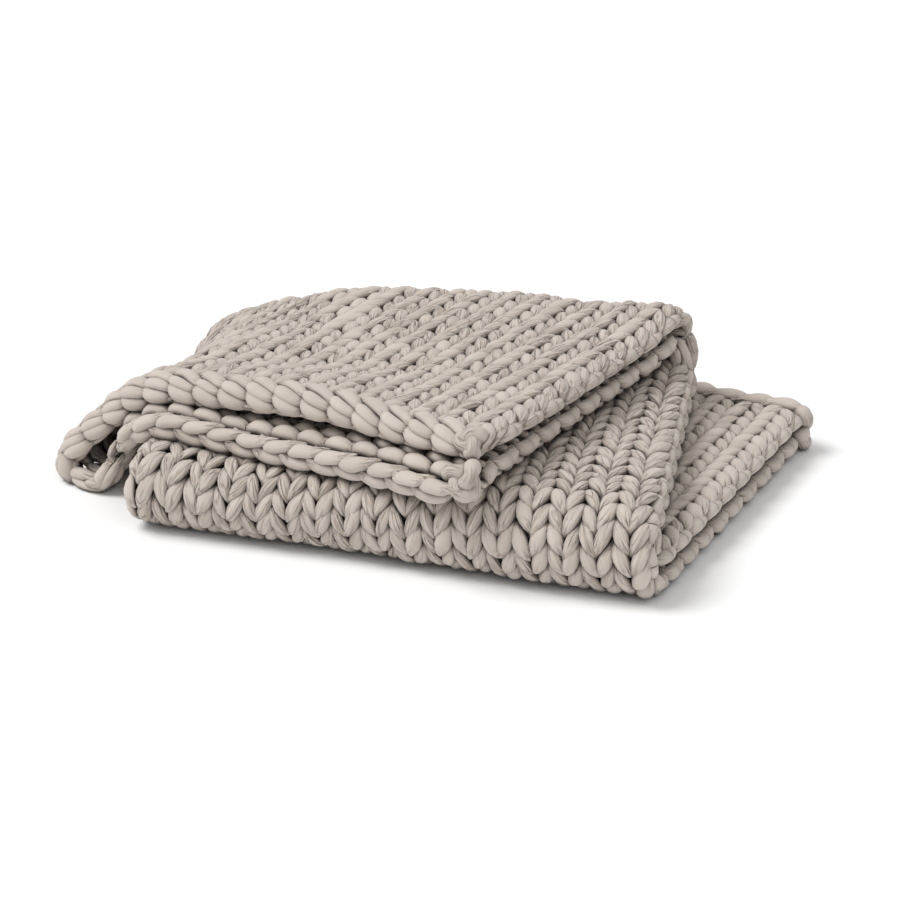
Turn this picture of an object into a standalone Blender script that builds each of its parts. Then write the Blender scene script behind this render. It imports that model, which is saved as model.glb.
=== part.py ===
"""A chunky hand-knitted weighted blanket, folded and lying on a flat surface.

The blanket is one knitted panel.  It is doubled lengthwise, so that its two side edges
(the selvages) lie together on the right, and the doubled strip is then laid in three runs:
run 3 on the floor, a front fold, run 2, a back fold, and run 1 on top.  The runs lie a little
askew on each other.  The left ends of runs 1 and 2 hang over the run below them, down to the
floor.  The panel is built as one closed body.

Panel coordinates: u runs across the panel, 0 at the lengthwise fold, negative in half B and
positive in half A; v runs along the knitting, 0 at the cast-on edge and LENGTH at the bound
edge.  Strip coordinates: s is 0 at the right side edge and -WIDTH at the lengthwise fold;
t runs along the strip, 0 where run 2 leaves the front fold.
"""
from math import cos, pi, radians, sin, tan

import bmesh
import bpy
import numpy as np

# Knitted fabric
WALE = 0.036                # width of one column of stitches
COURSE = 0.0222             # height of one row of stitches
WALES_IN_HALF = 17
COURSES = 62
CAST_ON = 0.015             # depth of the chained cast-on edge
LAYER = 0.0285              # height that one layer takes in the stack
THICKNESS = 0.0245          # of the knitted fabric
GREIGE = (0.55, 0.49, 0.43, 1.0)
YARN_ROUGHNESS = 0.85

# The folded stack: where the front fold's right end lies, and the headings of its lines,
# in degrees turned anticlockwise from +X, seen from above
FRONT_RIGHT = np.array((0.281, -0.245))
ACROSS_RUN_2 = 10.0
FRONT_FOLD = 1.8
BACK_FOLD = -1.5
RUN_2 = 0.368               # length of the right edge of run 2, between the folds
RUN_1 = 0.425               # length of the right edge of run 1

# The left ends of the runs, from the front (depth 0) to the back fold (depth 1): how far from
# its end a run bends down, the bend's radius in run 2, the bend in degrees, whether run 2
# bends as run 1 does, and the share by which the end of the stack is pressed lower
SIDE = (
    dict(depth=0.00, from_end=0.060, radius=0.045, turn=60, run_2_too=0.0, pressed=0.18),
    dict(depth=0.25, from_end=0.066, radius=0.045, turn=60, run_2_too=0.1, pressed=0.20),
    dict(depth=0.42, from_end=0.104, radius=0.050, turn=58, run_2_too=0.35, pressed=0.26),
    dict(depth=0.62, from_end=0.126, radius=0.055, turn=53, run_2_too=0.8, pressed=0.24),
    dict(depth=0.85, from_end=0.115, radius=0.055, turn=48, run_2_too=0.7, pressed=0.20),
    dict(depth=1.05, from_end=0.085, radius=0.055, turn=24, run_2_too=0.5, pressed=0.20),
)
PRESSED_FROM_END = 0.45     # where the pressing sets in
PRESSED_EASE = 0.315        # from there to where it is full
PRESSED_LAYERS = 4          # the top layers only sink with those below
# Towards the back fold, runs 1 and 2 also slope down past the left end of run 3
SLOPE_FROM_END = 0.23
SLOPE_RADIUS = 0.16
SLOPE_TURN = 17
SLOPE_DEPTHS = (0.5, 1.0)   # where the slope sets in and is full
# Heights over which cloth comes to belong to run 1, and to run 2 or run 1
RUN_1_HEIGHTS = (3.6 * LAYER, 4.6 * LAYER)
RUN_2_HEIGHTS = (1.9 * LAYER, 2.3 * LAYER)
# The right end of the back fold stands up a little on top
CORNER_RISE = 0.010
CORNER_X = (0.08, 0.19)
CORNER_DEPTHS = (0.80, 1.05)
CORNER_HEIGHTS = (3.0 * LAYER, 5.0 * LAYER)

# How far the lengthwise fold is drawn in, at places along the panel, and how far into the
# half the stitches are squeezed by it
DRAWN_IN = (
    dict(v=0.00, by=0.120, span=0.50),     # cast-on edge
    dict(v=0.20, by=0.110, span=0.50),
    dict(v=0.52, by=0.012, span=0.50),     # front fold
    dict(v=0.64, by=0.030, span=0.50),
    dict(v=0.79, by=0.068, span=0.40),     # middle of run 2
    dict(v=0.91, by=0.065, span=0.30),
    dict(v=1.04, by=0.034, span=0.25),     # back fold
    dict(v=1.20, by=0.005, span=0.25),
    dict(v=1.40, by=0.014, span=0.25),     # bound edge
)
SLIP_EASE = 0.15            # from the lengthwise fold to where a half slips fully
# The strip is gathered towards the back fold by this share, between these places t along it
BACK_GATHER = 0.05
GATHERED = (0.11, 0.368)
LET_OUT = (0.768, 0.468)
# Share by which half A's way round the fold is longer than the strip middle's, and half B's
# shorter
FRONT_SLIDE = -0.5
BACK_SLIDE = 0.67

# The bound edge: its open loop at the left end, its lips and the droop of the lower one
EDGE_REACH = 0.16           # how far from the edge it gapes
LOOP_WIDTH = 0.13
LOOP_TIP = 0.02             # distance from the lengthwise fold where it gapes most
LOOP_GAPE = 0.9             # gapes are in layers
LOOP_REACH = 0.038          # how far the loop reaches past the edge's line
LOOP_LEAN = 0.4             # share by which half B reaches further, and half A less
LIP_GAPE = 0.3
LIP_FULL = 0.25             # distance from the lengthwise fold where the lips gape fully
HUMP_GAPE = 0.9             # the hump in the upper lip
HUMP_RISES = (0.20, 0.36)
HUMP_FALLS = (0.52, 0.38)
FRONT_RECESS = 0.016        # how far the left part of the front fold lies further back
RECESS_PAST = (-0.15, 0.04)     # sets in, past the front fold's line
RECESS_X = (0.20, -0.10)
DROOP = 0.013               # at DROOP_PAST over the front fold's line
DROOP_PAST = 0.065
THINNED_BELOW = (4.3 * LAYER, 3.7 * LAYER)      # pressed cloth under these heights is thinner
SMALL = 1e-4                # a step for directions along the cloth

HALF = WALES_IN_HALF * WALE
LENGTH = CAST_ON + COURSES * COURSE
TURN = LAYER / 2            # radius of the lengthwise fold, at the middle of the fabric
WIDTH = TURN + HALF - TURN * pi / 2
RUN_3 = LENGTH - RUN_2 - RUN_1 - 2 * pi * LAYER


def ramp(x, start, end):
    """0 at start, 1 at end, smooth between."""
    x = np.clip((x - start) / (end - start), 0, 1)
    return x * x * (3 - 2 * x)


def heading(degrees):
    return np.array((cos(radians(degrees)), sin(radians(degrees))))


ACROSS = heading(ACROSS_RUN_2)
ALONG = heading(ACROSS_RUN_2 + 90)
FORWARD = heading(FRONT_FOLD - 90)
BACKWARD = heading(BACK_FOLD + 90)
BACK_RIGHT = FRONT_RIGHT + RUN_2 * ALONG
FRONT_SKEW = tan(radians(FRONT_FOLD - ACROSS_RUN_2))
BACK_SKEW = tan(radians(BACK_FOLD - ACROSS_RUN_2))


def fold_over(place, height, past, outward, rise):
    """Roll what lies past a line over by half a turn, up (rise 1) or down (rise -1)."""
    past = np.maximum(past, 0)
    angle = np.minimum(past / LAYER, pi)
    moved = LAYER * np.sin(angle) - np.maximum(past - pi * LAYER, 0) - past
    return place + moved[..., None] * outward, height + rise * LAYER * (1 - np.cos(angle))


def graded(rows, name, x, key="depth"):
    """A named column of a table, eased from row to row at the places x of the key column."""
    value = np.full(np.shape(x), float(rows[0][name]))
    for row, after in zip(rows, rows[1:]):
        value += (after[name] - row[name]) * ramp(x, row[key], after[key])
    return value


def hang(place, height, from_end, neutral, radius, turn):
    """Bend the left part of a run down, round what lies at the neutral height."""
    past = np.maximum((FRONT_RIGHT - place) @ ACROSS - WIDTH + from_end, 0)
    turned = np.minimum(past / radius, turn)
    rest = past - radius * turned
    arm = radius + height - neutral
    reach = arm * np.sin(turned) + rest * np.cos(turned)
    drop = arm * (1 - np.cos(turned)) + rest * np.sin(turned)
    return place - (reach - past)[..., None] * ACROSS, height - drop


def depth_of(place):
    """How far back a place lies: 0 at the front fold's line, 1 at the back fold's."""
    return (place[..., 1] - FRONT_RIGHT[1]) / RUN_2


def strip_middle(s, t):
    """The middle of the doubled strip."""
    drawn_in = 1 - BACK_GATHER * ramp(t, *GATHERED) * ramp(t, *LET_OUT)
    place = FRONT_RIGHT + (s * drawn_in)[..., None] * ACROSS + t[..., None] * ALONG
    height = np.full(s.shape, 3 * LAYER)
    past = (place - FRONT_RIGHT) @ FORWARD
    place, height = fold_over(place, height, past, FORWARD, -1)
    past = np.where(past > 0, 0, (place - BACK_RIGHT) @ BACKWARD)
    place, height = fold_over(place, height, past, BACKWARD, 1)
    upper = ramp(height, *RUN_1_HEIGHTS)
    above = ramp(height, *RUN_2_HEIGHTS)
    depth = depth_of(place)
    run_2_too = graded(SIDE, "run_2_too", depth)
    share = above * (upper + (1 - upper) * run_2_too)
    neutral = (3 + 2 * upper) * LAYER
    radius = graded(SIDE, "radius", depth) + 2 * LAYER * upper
    place, height = hang(place, height, graded(SIDE, "from_end", depth), neutral, radius,
                         np.radians(graded(SIDE, "turn", depth)) * share)
    slope = np.radians(SLOPE_TURN) * ramp(depth_of(place), *SLOPE_DEPTHS) * above
    place, height = hang(place, height, SLOPE_FROM_END, 3 * LAYER, SLOPE_RADIUS, slope)
    return np.concatenate([place, height[..., None]], -1)


def pressed_share(place):
    past = (FRONT_RIGHT - place) @ ACROSS - WIDTH + PRESSED_FROM_END
    return graded(SIDE, "pressed", depth_of(place)) * ramp(past, 0, PRESSED_EASE)


def settle(point, v, half_b):
    """Let the left end of the stack sink, and the lower lip of the bound edge droop."""
    place = point[..., :2]
    height = point[..., 2] - (LAYER - THICKNESS) / 2
    height = height - np.clip(height, 0, PRESSED_LAYERS * LAYER) * pressed_share(place)
    corner = ramp(place[..., 0], *CORNER_X) * ramp(depth_of(place), *CORNER_DEPTHS)
    height = height + CORNER_RISE * corner * ramp(height, *CORNER_HEIGHTS)
    past = (place - FRONT_RIGHT) @ FORWARD
    lip = half_b * (v > LENGTH - EDGE_REACH)
    height = height - DROOP * lip * (np.maximum(past, 0) / DROOP_PAST) ** 2
    recess = FRONT_RECESS * ramp(past, *RECESS_PAST) * ramp(place[..., 0], *RECESS_X)
    place = place - recess[..., None] * FORWARD
    return np.concatenate([place, height[..., None]], -1)


def gape(lateral, v, level):
    """How much further apart than LAYER the two halves lie."""
    bound = ramp(v, LENGTH - EDGE_REACH, LENGTH)
    loop = LOOP_GAPE * ramp(lateral, LOOP_WIDTH, LOOP_TIP)
    hump = HUMP_GAPE * ramp(lateral, *HUMP_RISES) * ramp(lateral, *HUMP_FALLS)
    lip = (level > 0) * ramp(lateral, LOOP_WIDTH, LIP_FULL) * (LIP_GAPE + hump)
    return 1 + bound * (loop + lip)


def fold_places(s, slip):
    """Where, along the knitting, the front and the back fold begin and end."""
    front = pi * LAYER * (1 + slip * FRONT_SLIDE)
    back = pi * LAYER * (1 + slip * BACK_SLIDE)
    front_begins = RUN_3 + s * FRONT_SKEW
    back_begins = RUN_3 + front + RUN_2 + s * BACK_SKEW
    return front_begins, front_begins + front, back_begins, back_begins + back


def across_half(u):
    """Distance from the lengthwise fold's outermost line, and the level: 1 is half A's."""
    around = np.clip(u / TURN, -pi / 2, pi / 2)
    straight = abs(u) - TURN * pi / 2
    lateral = np.where(straight < 0, TURN * (1 - np.cos(around)), TURN + straight)
    return lateral, np.sin(around)


def panel(u, v):
    """The middle of the knitted fabric at panel coordinates u, v, and its thickness."""
    u, v = np.broadcast_arrays(np.asarray(u, float), np.asarray(v, float))
    lateral, level = across_half(u)
    squeezed = ramp(lateral, graded(DRAWN_IN, "span", v, "v"), 0)
    s = lateral - WIDTH + graded(DRAWN_IN, "by", v, "v") * squeezed
    slip = level * ramp(lateral, 0.0, SLIP_EASE)
    front, front_ends, back, back_ends = fold_places(s, slip)
    round_front = np.clip((v - front) / (front_ends - front), 0, 1)
    round_back = np.clip((v - back) / (back_ends - back), 0, 1)
    to_front = np.minimum(v - front, 0) + (round_front - 1) * pi * LAYER
    past_back = round_back * pi * LAYER + np.maximum(v - back_ends, 0)
    t = np.where(v < front_ends, to_front, v - front_ends) + s * FRONT_SKEW
    t = np.where(v < back, t, RUN_2 + s * BACK_SKEW + past_back)
    bound = ramp(v, LENGTH - EDGE_REACH, LENGTH)
    t = t + LOOP_REACH * bound * ramp(lateral, LOOP_WIDTH, 0) * (1 - LOOP_LEAN * level)
    middle = strip_middle(s, t)
    across = strip_middle(s + SMALL, t) - middle
    along = strip_middle(s, t + SMALL) - middle
    normal = np.cross(across, along)
    normal /= np.linalg.norm(normal, axis=-1, keepdims=True)
    offset = TURN * level * gape(lateral, v, level)
    point = middle - offset[..., None] * normal
    thinned = pressed_share(point[..., :2]) * ramp(point[..., 2], *THINNED_BELOW)
    thickness = THICKNESS * (1 - thinned)
    point = settle(point, v, level < 0)
    point[..., 2] = np.maximum(point[..., 2], thickness / 2)
    return point, thickness


# ---- build ----
# The mesh: steps round the lengthwise fold, across a half's left and right part, and along
# each stretch of the panel (run 3, front fold, run 2, back fold, run 1)
TURN_STEPS = 8
LEFT_STEPS = 7
LEFT_PART = 0.13
RIGHT_STEPS = 9
STRETCH_STEPS = (7, 9, 9, 9, 11)
# Share of its thickness by which the cloth is pinched on the inside of its tight bends, the
# levels over which a half comes to be the inner one, and how far past a fold the pinch fades
FOLD_PINCH = 0.60
TURN_PINCH = 0.50
INNER_LEVELS = (-0.1, 0.5)
TURN_LEVELS = (1.0, 0.9)
PINCH_FADES = 0.02
# The rounded rim: distance past the edge's line, and share of the thickness
RIM = (
    dict(past=-0.006, thick=1.0),
    dict(past=0.004, thick=0.6),
    dict(past=0.008, thick=0.0),
)


def columns():
    """u of each column of the mesh, with its share of the thickness."""
    fold = TURN * np.linspace(0, pi / 2, TURN_STEPS // 2 + 1)
    left = np.linspace(fold[-1], LEFT_PART, LEFT_STEPS + 1)[1:]
    right = np.linspace(LEFT_PART, HALF + RIM[0]["past"], RIGHT_STEPS + 1)[1:]
    rim = [HALF + row["past"] for row in RIM[1:]]
    half = np.concatenate([fold, left, right, rim])
    thick = np.ones(len(half))
    thick[-len(rim):] = [row["thick"] for row in RIM[1:]]
    return np.concatenate([-half[:0:-1], half]), np.concatenate([thick[:0:-1], thick])


def rows(u):
    """v of each row of the mesh along the columns u, with its share of the thickness."""
    lateral, level = across_half(u)
    slip = level * ramp(lateral, 0.0, SLIP_EASE)
    ends = fold_places(lateral - WIDTH, slip)
    inset = -RIM[0]["past"]
    stops = [np.full(u.shape, inset), *ends, np.full(u.shape, LENGTH - inset)]
    v = [np.full(u.shape, -row["past"]) for row in reversed(RIM)]
    for begin, end, steps in zip(stops, stops[1:], STRETCH_STEPS):
        v += [begin + (end - begin) * step / steps for step in range(1, steps + 1)]
    v += [np.full(u.shape, LENGTH + row["past"]) for row in RIM[1:]]
    thick = np.ones(len(v))
    shares = [row["thick"] for row in RIM]
    thick[:len(RIM)] = shares[::-1]
    thick[-len(RIM):] = shares
    return np.stack(v, -1), thick


def pinched(u, v):
    """Share by which the cloth is pinched thinner on the inside of its tight bends."""
    lateral, level = across_half(u)
    ends = fold_places(lateral - WIDTH, level * ramp(lateral, 0.0, SLIP_EASE))
    nose = np.zeros(u.shape)
    for begin, end, inner in zip(ends[::2], ends[1::2], (level, -level)):
        past = abs(v - (begin + end) / 2)
        near = ramp(past, (end - begin) / 2 + PINCH_FADES, (end - begin) / 4)
        nose += FOLD_PINCH * ramp(inner, *INNER_LEVELS) * near
    return nose, TURN_PINCH * ramp(abs(level), *TURN_LEVELS)


def surfaces():
    """Points of the knitted face and of the back, on the same grid."""
    u, thick_u = columns()
    v, thick_v = rows(u)
    u = np.broadcast_to(u[:, None], v.shape)
    middle, thickness = panel(u, v)
    across = panel(u + SMALL, v)[0] - panel(u - SMALL, v)[0]
    along = panel(u, v + SMALL)[0] - panel(u, v - SMALL)[0]
    normal = np.cross(along, across)
    normal /= np.linalg.norm(normal, axis=-1, keepdims=True)
    half = (thickness * thick_u[:, None] * thick_v / 2)[..., None] * normal
    nose, turn = pinched(u, v)
    return middle + half * (1 - nose)[..., None], middle - half * (1 - turn)[..., None]


def build_blanket():
    face, back = surfaces()
    for side in (face, back):
        side[..., 2] = np.maximum(side[..., 2], 0)
    points = np.concatenate([face.reshape(-1, 3), back.reshape(-1, 3)])
    low = points.min(axis=0)
    high = points.max(axis=0)
    shift = np.array(((low[0] + high[0]) / 2, (low[1] + high[1]) / 2, low[2]))
    mesh = bmesh.new()
    grids = []
    for side in (face, back):
        grid = [[None] * side.shape[1] for _ in side]
        for i, j in np.ndindex(side.shape[:2]):
            at_rim = i in (0, side.shape[0] - 1) or j in (0, side.shape[1] - 1)
            if grids and at_rim:
                grid[i][j] = grids[0][i][j]
            else:
                grid[i][j] = mesh.verts.new(side[i, j] - shift)
        grids.append(grid)
    for grid, turned in zip(grids, (False, True)):
        for i in range(len(grid) - 1):
            for j in range(len(grid[0]) - 1):
                corners = [grid[i][j], grid[i][j + 1], grid[i + 1][j + 1], grid[i + 1][j]]
                first = (i < len(grid) // 2) != (j < len(grid[0]) // 2)
                for k in (first, first + 2):
                    facet = [corners[k], corners[(k + 1) % 4], corners[(k + 2) % 4]]
                    mesh.faces.new(facet[::-1] if turned else facet)
    data = bpy.data.meshes.new("blanket")
    mesh.to_mesh(data)
    mesh.free()
    blanket = bpy.data.objects.new("blanket", data)
    bpy.context.scene.collection.objects.link(blanket)
    yarn = bpy.data.materials.new("knit_yarn")
    yarn.use_nodes = True
    shader = yarn.node_tree.nodes["Principled BSDF"]
    shader.inputs["Base Color"].default_value = GREIGE
    shader.inputs["Roughness"].default_value = YARN_ROUGHNESS
    data.materials.append(yarn)
    return blanket


for item in list(bpy.data.objects):
    bpy.data.objects.remove(item, do_unlink=True)
build_blanket()
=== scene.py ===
"""The looks of the folded weighted blanket: its tube yarn, knitted stitch by stitch.

The knitted panel is laid out as in the part's source, by panel(), which takes a place on the
flat panel to its place in the folded stack.  Each course of stitches is one tube of yarn that
runs across the panel in loops: the legs lie on the knitted face, the loops' heads and the
sinkers between the loops lie on the back.  The two ends of the knitting are chains of links.

Panel coordinates: u runs across the panel, 0 at the lengthwise fold, negative in half B and
positive in half A; v runs along the knitting, 0 at the cast-on edge and LENGTH at the bound
edge.  Strip coordinates: s is 0 at the right side edge and -WIDTH at the lengthwise fold;
t runs along the doubled strip, 0 where run 2 leaves the front fold.  Lengths are in metres.
"""
from math import cos, pi, radians, sin, tan

import bpy
import numpy as np
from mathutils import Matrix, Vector


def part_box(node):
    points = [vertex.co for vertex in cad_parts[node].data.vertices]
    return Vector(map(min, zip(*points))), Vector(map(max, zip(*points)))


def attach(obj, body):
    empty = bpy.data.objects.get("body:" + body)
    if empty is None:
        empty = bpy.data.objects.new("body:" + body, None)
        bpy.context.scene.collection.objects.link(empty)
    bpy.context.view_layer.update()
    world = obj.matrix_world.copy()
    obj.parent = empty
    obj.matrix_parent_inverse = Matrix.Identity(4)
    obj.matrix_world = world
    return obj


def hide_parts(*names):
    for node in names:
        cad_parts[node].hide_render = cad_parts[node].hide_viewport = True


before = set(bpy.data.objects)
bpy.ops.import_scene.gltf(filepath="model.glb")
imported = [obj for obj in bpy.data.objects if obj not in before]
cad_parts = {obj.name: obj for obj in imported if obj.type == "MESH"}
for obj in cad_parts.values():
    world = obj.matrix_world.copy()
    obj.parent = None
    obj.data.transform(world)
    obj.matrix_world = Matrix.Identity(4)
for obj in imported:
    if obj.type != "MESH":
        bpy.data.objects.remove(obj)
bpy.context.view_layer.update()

# ---- the folded panel, as in the part's source ----
# Knitted fabric
WALE = 0.036                # width of one column of stitches
COURSE = 0.0222             # height of one row of stitches
WALES_IN_HALF = 17
COURSES = 62
CAST_ON = 0.015             # depth of the chained cast-on edge
LAYER = 0.0285              # height that one layer takes in the stack
THICKNESS = 0.0245          # of the knitted fabric

# The folded stack: where the front fold's right end lies, and the headings of its lines,
# in degrees turned anticlockwise from +X, seen from above
FRONT_RIGHT = np.array((0.281, -0.245))
ACROSS_RUN_2 = 10.0
FRONT_FOLD = 1.8
BACK_FOLD = -1.5
RUN_2 = 0.368               # length of the right edge of run 2, between the folds
RUN_1 = 0.425               # length of the right edge of run 1

# The left ends of the runs, from the front (depth 0) to the back fold (depth 1): how far from
# its end a run bends down, the bend's radius in run 2, the bend in degrees, whether run 2
# bends as run 1 does, and the share by which the end of the stack is pressed lower
SIDE = (
    dict(depth=0.00, from_end=0.060, radius=0.045, turn=60, run_2_too=0.0, pressed=0.18),
    dict(depth=0.25, from_end=0.066, radius=0.045, turn=60, run_2_too=0.1, pressed=0.20),
    dict(depth=0.42, from_end=0.104, radius=0.050, turn=58, run_2_too=0.35, pressed=0.26),
    dict(depth=0.62, from_end=0.126, radius=0.055, turn=53, run_2_too=0.8, pressed=0.24),
    dict(depth=0.85, from_end=0.115, radius=0.055, turn=48, run_2_too=0.7, pressed=0.20),
    dict(depth=1.05, from_end=0.085, radius=0.055, turn=24, run_2_too=0.5, pressed=0.20),
)
PRESSED_FROM_END = 0.45     # where the pressing sets in
PRESSED_EASE = 0.315        # from there to where it is full
PRESSED_LAYERS = 4          # the top layers only sink with those below
# Towards the back fold, runs 1 and 2 also slope down past the left end of run 3
SLOPE_FROM_END = 0.23
SLOPE_RADIUS = 0.16
SLOPE_TURN = 17
SLOPE_DEPTHS = (0.5, 1.0)   # where the slope sets in and is full
# Heights over which cloth comes to belong to run 1, and to run 2 or run 1
RUN_1_HEIGHTS = (3.6 * LAYER, 4.6 * LAYER)
RUN_2_HEIGHTS = (1.9 * LAYER, 2.3 * LAYER)
# The right end of the back fold stands up a little on top
CORNER_RISE = 0.010
CORNER_X = (0.08, 0.19)
CORNER_DEPTHS = (0.80, 1.05)
CORNER_HEIGHTS = (3.0 * LAYER, 5.0 * LAYER)

# How far the lengthwise fold is drawn in, at places along the panel, and how far into the
# half the stitches are squeezed by it
DRAWN_IN = (
    dict(v=0.00, by=0.120, span=0.50),     # cast-on edge
    dict(v=0.20, by=0.110, span=0.50),
    dict(v=0.52, by=0.012, span=0.50),     # front fold
    dict(v=0.64, by=0.030, span=0.50),
    dict(v=0.79, by=0.068, span=0.40),     # middle of run 2
    dict(v=0.91, by=0.065, span=0.30),
    dict(v=1.04, by=0.034, span=0.25),     # back fold
    dict(v=1.20, by=0.005, span=0.25),
    dict(v=1.40, by=0.014, span=0.25),     # bound edge
)
SLIP_EASE = 0.15            # from the lengthwise fold to where a half slips fully
# The strip is gathered towards the back fold by this share, between these places t along it
BACK_GATHER = 0.05
GATHERED = (0.11, 0.368)
LET_OUT = (0.768, 0.468)
# Share by which half A's way round the fold is longer than the strip middle's, and half B's
# shorter
FRONT_SLIDE = -0.5
BACK_SLIDE = 0.67

# The bound edge: its open loop at the left end, its lips and the droop of the lower one
EDGE_REACH = 0.16           # how far from the edge it gapes
LOOP_WIDTH = 0.13
LOOP_TIP = 0.02             # distance from the lengthwise fold where it gapes most
LOOP_GAPE = 0.9             # gapes are in layers
LOOP_REACH = 0.038          # how far the loop reaches past the edge's line
LOOP_LEAN = 0.4             # share by which half B reaches further, and half A less
LIP_GAPE = 0.3
LIP_FULL = 0.25             # distance from the lengthwise fold where the lips gape fully
HUMP_GAPE = 0.9             # the hump in the upper lip
HUMP_RISES = (0.20, 0.36)
HUMP_FALLS = (0.52, 0.38)
FRONT_RECESS = 0.016        # how far the left part of the front fold lies further back
RECESS_PAST = (-0.15, 0.04)     # sets in, past the front fold's line
RECESS_X = (0.20, -0.10)
DROOP = 0.013               # at DROOP_PAST over the front fold's line
DROOP_PAST = 0.065
THINNED_BELOW = (4.3 * LAYER, 3.7 * LAYER)      # pressed cloth under these heights is thinner
SMALL = 1e-4                # a step for directions along the cloth

HALF = WALES_IN_HALF * WALE
LENGTH = CAST_ON + COURSES * COURSE
TURN = LAYER / 2            # radius of the lengthwise fold, at the middle of the fabric
WIDTH = TURN + HALF - TURN * pi / 2
RUN_3 = LENGTH - RUN_2 - RUN_1 - 2 * pi * LAYER


def ramp(x, start, end):
    """0 at start, 1 at end, smooth between."""
    x = np.clip((x - start) / (end - start), 0, 1)
    return x * x * (3 - 2 * x)


def heading(degrees):
    return np.array((cos(radians(degrees)), sin(radians(degrees))))


ACROSS = heading(ACROSS_RUN_2)
ALONG = heading(ACROSS_RUN_2 + 90)
FORWARD = heading(FRONT_FOLD - 90)
BACKWARD = heading(BACK_FOLD + 90)
BACK_RIGHT = FRONT_RIGHT + RUN_2 * ALONG
FRONT_SKEW = tan(radians(FRONT_FOLD - ACROSS_RUN_2))
BACK_SKEW = tan(radians(BACK_FOLD - ACROSS_RUN_2))


def fold_over(place, height, past, outward, rise):
    """Roll what lies past a line over by half a turn, up (rise 1) or down (rise -1)."""
    past = np.maximum(past, 0)
    angle = np.minimum(past / LAYER, pi)
    moved = LAYER * np.sin(angle) - np.maximum(past - pi * LAYER, 0) - past
    return place + moved[..., None] * outward, height + rise * LAYER * (1 - np.cos(angle))


def graded(rows, name, x, key="depth"):
    """A named column of a table, eased from row to row at the places x of the key column."""
    value = np.full(np.shape(x), float(rows[0][name]))
    for row, after in zip(rows, rows[1:]):
        value += (after[name] - row[name]) * ramp(x, row[key], after[key])
    return value


def hang(place, height, from_end, neutral, radius, turn):
    """Bend the left part of a run down, round what lies at the neutral height."""
    past = np.maximum((FRONT_RIGHT - place) @ ACROSS - WIDTH + from_end, 0)
    turned = np.minimum(past / radius, turn)
    rest = past - radius * turned
    arm = radius + height - neutral
    reach = arm * np.sin(turned) + rest * np.cos(turned)
    drop = arm * (1 - np.cos(turned)) + rest * np.sin(turned)
    return place - (reach - past)[..., None] * ACROSS, height - drop


def depth_of(place):
    """How far back a place lies: 0 at the front fold's line, 1 at the back fold's."""
    return (place[..., 1] - FRONT_RIGHT[1]) / RUN_2


def strip_middle(s, t):
    """The middle of the doubled strip."""
    drawn_in = 1 - BACK_GATHER * ramp(t, *GATHERED) * ramp(t, *LET_OUT)
    place = FRONT_RIGHT + (s * drawn_in)[..., None] * ACROSS + t[..., None] * ALONG
    height = np.full(s.shape, 3 * LAYER)
    past = (place - FRONT_RIGHT) @ FORWARD
    place, height = fold_over(place, height, past, FORWARD, -1)
    past = np.where(past > 0, 0, (place - BACK_RIGHT) @ BACKWARD)
    place, height = fold_over(place, height, past, BACKWARD, 1)
    upper = ramp(height, *RUN_1_HEIGHTS)
    above = ramp(height, *RUN_2_HEIGHTS)
    depth = depth_of(place)
    run_2_too = graded(SIDE, "run_2_too", depth)
    share = above * (upper + (1 - upper) * run_2_too)
    neutral = (3 + 2 * upper) * LAYER
    radius = graded(SIDE, "radius", depth) + 2 * LAYER * upper
    place, height = hang(place, height, graded(SIDE, "from_end", depth), neutral, radius,
                         np.radians(graded(SIDE, "turn", depth)) * share)
    slope = np.radians(SLOPE_TURN) * ramp(depth_of(place), *SLOPE_DEPTHS) * above
    place, height = hang(place, height, SLOPE_FROM_END, 3 * LAYER, SLOPE_RADIUS, slope)
    return np.concatenate([place, height[..., None]], -1)


def pressed_share(place):
    past = (FRONT_RIGHT - place) @ ACROSS - WIDTH + PRESSED_FROM_END
    return graded(SIDE, "pressed", depth_of(place)) * ramp(past, 0, PRESSED_EASE)


def settle(point, v, half_b):
    """Let the left end of the stack sink, and the lower lip of the bound edge droop."""
    place = point[..., :2]
    height = point[..., 2] - (LAYER - THICKNESS) / 2
    height = height - np.clip(height, 0, PRESSED_LAYERS * LAYER) * pressed_share(place)
    corner = ramp(place[..., 0], *CORNER_X) * ramp(depth_of(place), *CORNER_DEPTHS)
    height = height + CORNER_RISE * corner * ramp(height, *CORNER_HEIGHTS)
    past = (place - FRONT_RIGHT) @ FORWARD
    lip = half_b * (v > LENGTH - EDGE_REACH)
    height = height - DROOP * lip * (np.maximum(past, 0) / DROOP_PAST) ** 2
    recess = FRONT_RECESS * ramp(past, *RECESS_PAST) * ramp(place[..., 0], *RECESS_X)
    place = place - recess[..., None] * FORWARD
    return np.concatenate([place, height[..., None]], -1)


def gape(lateral, v, level):
    """How much further apart than LAYER the two halves lie."""
    bound = ramp(v, LENGTH - EDGE_REACH, LENGTH)
    loop = LOOP_GAPE * ramp(lateral, LOOP_WIDTH, LOOP_TIP)
    hump = HUMP_GAPE * ramp(lateral, *HUMP_RISES) * ramp(lateral, *HUMP_FALLS)
    lip = (level > 0) * ramp(lateral, LOOP_WIDTH, LIP_FULL) * (LIP_GAPE + hump)
    return 1 + bound * (loop + lip)


def fold_places(s, slip):
    """Where, along the knitting, the front and the back fold begin and end."""
    front = pi * LAYER * (1 + slip * FRONT_SLIDE)
    back = pi * LAYER * (1 + slip * BACK_SLIDE)
    front_begins = RUN_3 + s * FRONT_SKEW
    back_begins = RUN_3 + front + RUN_2 + s * BACK_SKEW
    return front_begins, front_begins + front, back_begins, back_begins + back


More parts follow.
